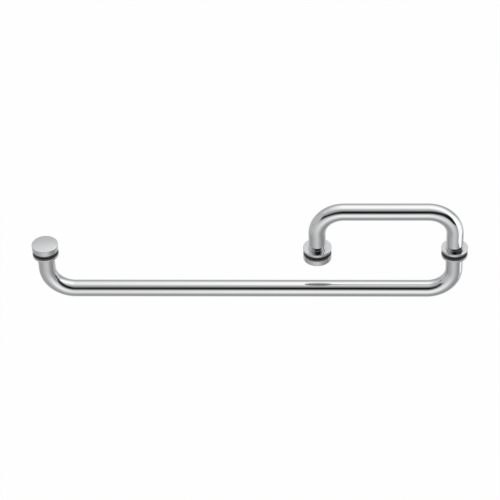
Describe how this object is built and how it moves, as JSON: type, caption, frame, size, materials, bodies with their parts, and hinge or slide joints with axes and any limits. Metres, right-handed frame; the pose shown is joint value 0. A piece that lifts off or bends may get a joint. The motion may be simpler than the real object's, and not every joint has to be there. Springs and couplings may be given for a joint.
{
  "type": "shower door handle",
  "caption": "Towel bar and pull handle set of bent chrome tube for the two sides of a glass shower door, with round washers, black gaskets and end caps.",
  "frame": {"origin": "middle of the glass gap, midway between the towel bar's two glass holes", "axes": "+X along the towel bar towards the shared stud, +Z out of the glass along the studs on the pull's side, +Y across the handle's own plane"},
  "size_m": [0.4866, 0.0318, 0.129],
  "materials": {
    "chrome": "polished",
    "gasket_rubber": "matte",
    "stud_steel": "satin",
    "sleeve_plastic": "satin"
  },
  "bodies": {
    "root": {"towel_bar_tube": "chrome", "pull_tube": "chrome", "bar_end_plug": "chrome", "bar_shared_plug": "chrome", "pull_end_plug": "chrome", "pull_shared_plug": "chrome", "bar_end_washer": "chrome", "bar_shared_washer": "chrome", "pull_end_washer": "chrome", "pull_shared_washer": "chrome", "bar_end_cap": "chrome", "pull_end_cap": "chrome", "bar_end_gasket": "gasket_rubber", "bar_shared_gasket": "gasket_rubber", "pull_end_gasket": "gasket_rubber", "pull_shared_gasket": "gasket_rubber", "bar_end_cap_gasket": "gasket_rubber", "pull_end_cap_gasket": "gasket_rubber", "bar_end_cap_stud": "stud_steel", "pull_end_cap_stud": "stud_steel", "shared_stud": "stud_steel", "pull_set_screw": "stud_steel", "bar_end_sleeve": "sleeve_plastic", "pull_end_sleeve": "sleeve_plastic", "shared_sleeve": "sleeve_plastic"}
  },
  "joints": []
}
